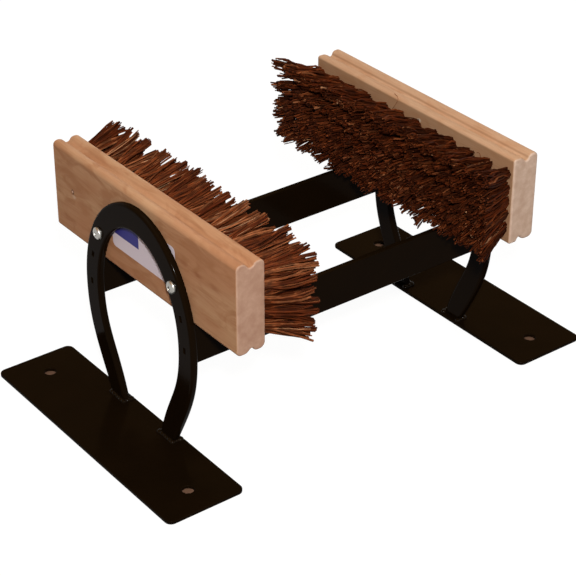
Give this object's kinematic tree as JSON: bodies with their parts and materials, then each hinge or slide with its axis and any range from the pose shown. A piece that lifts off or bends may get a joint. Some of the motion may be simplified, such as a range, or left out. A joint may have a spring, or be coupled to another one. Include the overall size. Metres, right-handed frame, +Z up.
{
  "type": "boot scraper",
  "caption": "Free-standing boot scraper: upright horseshoes on flat feet, joined by scraper bars on edge, with scrubbing brushes facing each other above the bars.",
  "frame": {"origin": "on the ground under the middle of the part, at the bottom centre of its box", "axes": "+X along the scraper bars towards the right end, +Y along the feet towards the rear bar, +Z up"},
  "size_m": [0.4242, 0.2678, 0.2003],
  "materials": {
    "black_paint": "glossy black enamel over welded steel",
    "bare_wood": "sanded, unvarnished",
    "brush_fibre": "stiff red-brown brush fibre",
    "zinc_plate": "bright zinc plate"
  },
  "bodies": {
    "root": {"front_scraper_bar": "black_paint", "rear_scraper_bar": "black_paint", "left_base_plate": "black_paint", "left_horseshoe": "black_paint", "left_heel_weld_a": "black_paint", "left_heel_weld_b": "black_paint", "left_bar_weld_a": "black_paint", "left_bar_weld_b": "black_paint", "left_brush_block": "bare_wood", "left_bristles": "brush_fibre", "left_brush_screw_a": "zinc_plate", "left_brush_screw_b": "zinc_plate", "right_base_plate": "black_paint", "right_horseshoe": "black_paint", "right_heel_weld_a": "black_paint", "right_heel_weld_b": "black_paint", "right_bar_weld_a": "black_paint", "right_bar_weld_b": "black_paint", "right_brush_block": "bare_wood", "right_bristles": "brush_fibre", "right_brush_screw_a": "zinc_plate", "right_brush_screw_b": "zinc_plate"}
  },
  "joints": []
}
